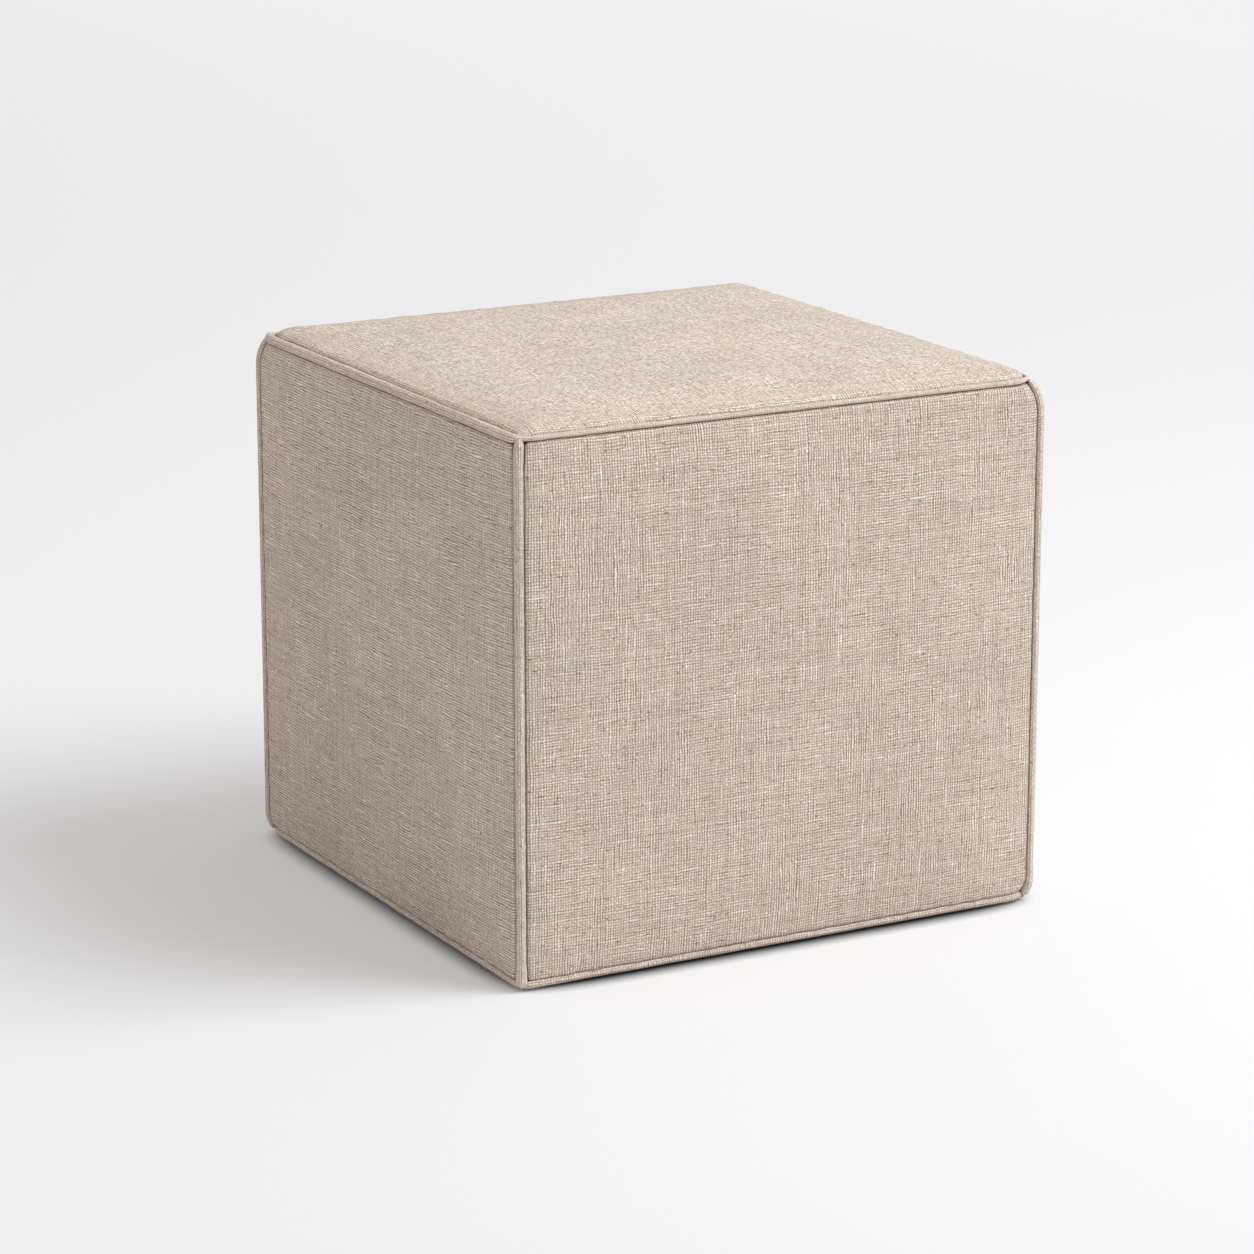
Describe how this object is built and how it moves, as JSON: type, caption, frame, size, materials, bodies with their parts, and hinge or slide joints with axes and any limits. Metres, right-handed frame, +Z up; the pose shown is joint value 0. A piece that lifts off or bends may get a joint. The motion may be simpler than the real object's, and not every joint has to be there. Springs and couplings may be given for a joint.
{
  "type": "cube pouf",
  "caption": "Square upholstered cube pouf in a linen-look weave, with crowned panels and piping sewn along every edge.",
  "frame": {"origin": "centre of the flat base, on the floor", "axes": "+Z up, front panel faces -Y, right panel faces +X; metres in the stored model"},
  "size_m": [0.4562, 0.4562, 0.4216],
  "materials": {
    "cover": "matt linen-look plain weave in oatmeal, cream yarns over tan",
    "piping": "the same cloth wrapped round a cord"
  },
  "bodies": {
    "root": {"cushion": "cover", "piping_top": "piping", "piping_base": "piping", "piping_front_left": "piping", "piping_front_right": "piping", "piping_back_left": "piping", "piping_back_right": "piping"}
  },
  "joints": []
}
